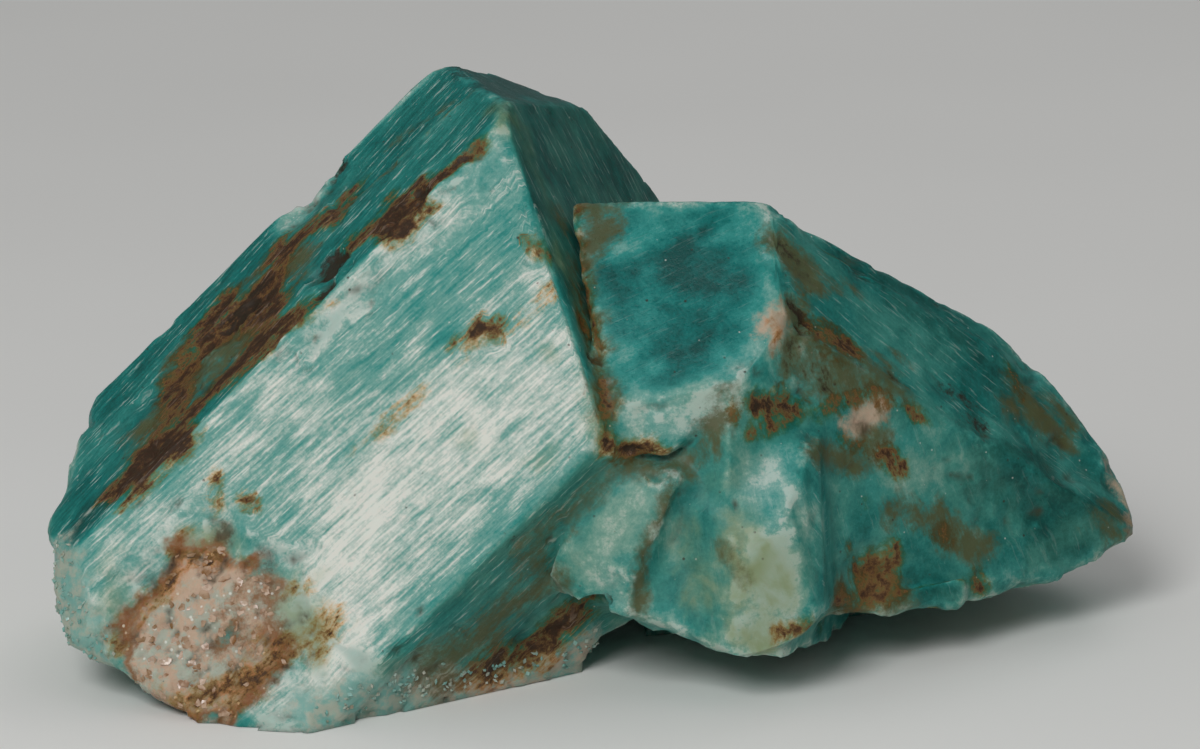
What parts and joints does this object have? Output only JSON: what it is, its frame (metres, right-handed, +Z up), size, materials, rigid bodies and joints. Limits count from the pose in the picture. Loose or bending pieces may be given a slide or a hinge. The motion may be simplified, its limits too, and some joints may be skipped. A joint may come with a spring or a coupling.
{
  "type": "rough amazonite crystal cluster",
  "caption": "Rough blue-green amazonite: a thick leaning crystal grown together with a lower group of crystals, with worn edges, rust-stained pits and a broken end.",
  "frame": {"origin": "middle of the specimen's footprint box, on the surface it rests on", "axes": "+X along the specimen's length from the broken end of the thick crystal to the tip of the wing, +Y away from the show side, +Z up"},
  "size_m": [0.0566, 0.0302, 0.0293],
  "materials": {
    "amazonite": "translucent waxy blue-green feldspar with silky white streaks, pale edges and rust-brown stains"
  },
  "bodies": {
    "root": {"amazonite": "amazonite"}
  },
  "joints": []
}
